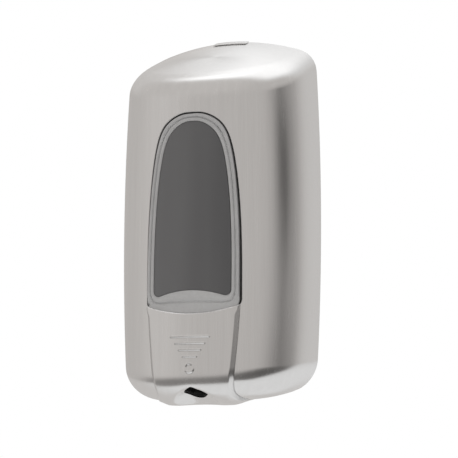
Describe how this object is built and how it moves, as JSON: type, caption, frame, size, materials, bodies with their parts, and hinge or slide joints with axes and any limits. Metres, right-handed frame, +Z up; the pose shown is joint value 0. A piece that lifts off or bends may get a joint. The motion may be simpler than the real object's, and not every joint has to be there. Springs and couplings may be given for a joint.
{
  "type": "wall mounted soap dispenser",
  "caption": "Touch free wall soap dispenser with a hinged brushed metal cover, arched window, sensor chin, lift out tank and a geared roller pump.",
  "frame": {"origin": "point on the back plate's back face, on the centre line, at the middle height of the cover", "axes": "+Z up, +Y into the wall, the window faces -Y, +X to the right seen from the front"},
  "size_m": [0.1372, 0.1001, 0.2787],
  "materials": {
    "frame_plastic": "fine grain moulding",
    "white_plastic": "smooth moulding",
    "pin_steel": "plain",
    "gloss_black": "gloss",
    "board_green": "satin",
    "roller_black": "satin",
    "cell_wrap": "satin",
    "seal_rubber": "matt",
    "cover_steel": "vertical brushing, satin",
    "clear_plastic": "clear, lightly frosted",
    "smoked_pane": "smoked, gloss",
    "tank_plastic": "translucent",
    "gear_brass": "plain",
    "lamp_plastic": "clear",
    "button_blue": "satin"
  },
  "bodies": {
    "base": {"back_plate": "frame_plastic", "lock_keeper": "pin_steel", "hinge_pin_left": "pin_steel", "hinge_pin_right": "pin_steel", "module_case": "frame_plastic", "gear_plate": "white_plastic", "motor": "pin_steel", "pump_head": "frame_plastic", "pump_lid": "clear_plastic", "delivery_tube": "white_plastic", "nozzle": "gloss_black", "tank_socket": "white_plastic", "sensor_board": "board_green", "sensor_eyes": "gloss_black", "control_board": "board_green", "status_lamp": "lamp_plastic", "cell_a": "cell_wrap", "cell_b": "cell_wrap", "cell_c": "cell_wrap", "cell_d": "cell_wrap", "contact_springs": "pin_steel", "contact_plates": "pin_steel", "case_screws": "pin_steel"},
    "cover": {"cover": "cover_steel", "window_bezel": "clear_plastic", "window_pane": "smoked_pane", "window_gasket": "seal_rubber", "chin_panel": "cover_steel", "sensor_icon": "cover_steel", "outlet_cup": "gloss_black", "lock_guide": "frame_plastic"},
    "lock": {"lock_slider": "pin_steel"},
    "tank": {"tank": "tank_plastic", "outlet_seal": "seal_rubber", "cap_pin": "pin_steel"},
    "cap": {"fill_cap": "white_plastic", "cap_gasket": "seal_rubber"},
    "rotor": {"rotor": "white_plastic", "gear_wheel": "white_plastic"},
    "pinion": {"pinion": "gear_brass"},
    "roller_a": {"roller_a": "roller_black"},
    "roller_b": {"roller_b": "roller_black"},
    "roller_c": {"roller_c": "roller_black"},
    "door_left": {"door_left": "frame_plastic"},
    "door_right": {"door_right": "frame_plastic"},
    "switch": {"switch_knob": "gloss_black"},
    "button": {"prime_button": "button_blue"}
  },
  "joints": [
    {"name": "cover_hinge", "type": "hinge", "parent": "base", "child": "cover", "pos_m": [0, -0.012, -0.128], "axis": [1, 0, 0], "range_deg": [0, 80]},
    {"name": "lock_slide", "type": "slide", "parent": "cover", "child": "lock", "axis": [1, 0, 0], "range_m": [0, 0.003]},
    {"name": "tank_lift", "type": "slide", "parent": "base", "child": "tank", "axis": [0, 0, 1], "range_m": [0, 0.008]},
    {"name": "cap_hinge", "type": "hinge", "parent": "tank", "child": "cap", "pos_m": [0, -0.0237, 0.0826], "axis": [-1, 0, 0], "range_deg": [0, 85]},
    {"name": "rotor_spin", "type": "hinge", "parent": "base", "child": "rotor", "pos_m": [-0.007, -0.069, -0.088], "axis": [0, 1, 0], "continuous": true},
    {"name": "pinion_spin", "type": "hinge", "parent": "base", "child": "pinion", "pos_m": [0.00771, -0.054, -0.07329], "axis": [0, 1, 0], "continuous": true},
    {"name": "roller_a_spin", "type": "hinge", "parent": "rotor", "child": "roller_a", "pos_m": [-0.007, -0.069, -0.0774], "axis": [0, 1, 0], "continuous": true},
    {"name": "roller_b_spin", "type": "hinge", "parent": "rotor", "child": "roller_b", "pos_m": [-0.01618, -0.069, -0.0933], "axis": [0, 1, 0], "continuous": true},
    {"name": "roller_c_spin", "type": "hinge", "parent": "rotor", "child": "roller_c", "pos_m": [0.00218, -0.069, -0.0933], "axis": [0, 1, 0], "continuous": true},
    {"name": "door_left_slide", "type": "slide", "parent": "base", "child": "door_left", "axis": [0, 0, -1], "range_m": [0, 0.006]},
    {"name": "door_right_slide", "type": "slide", "parent": "base", "child": "door_right", "axis": [0, 0, -1], "range_m": [0, 0.006]},
    {"name": "switch_slide", "type": "slide", "parent": "base", "child": "switch", "axis": [0, 1, 0], "range_m": [0, 0.004]},
    {"name": "button_press", "type": "slide", "parent": "base", "child": "button", "axis": [0, 0, -1], "range_m": [0, 0.0015], "stiffness_N_per_m": 200, "springref_m": -0.0005}
  ],
  "couplings": [
    {"joint": "pinion_spin", "follows": "rotor_spin", "ratio": -3.3333}
  ]
}
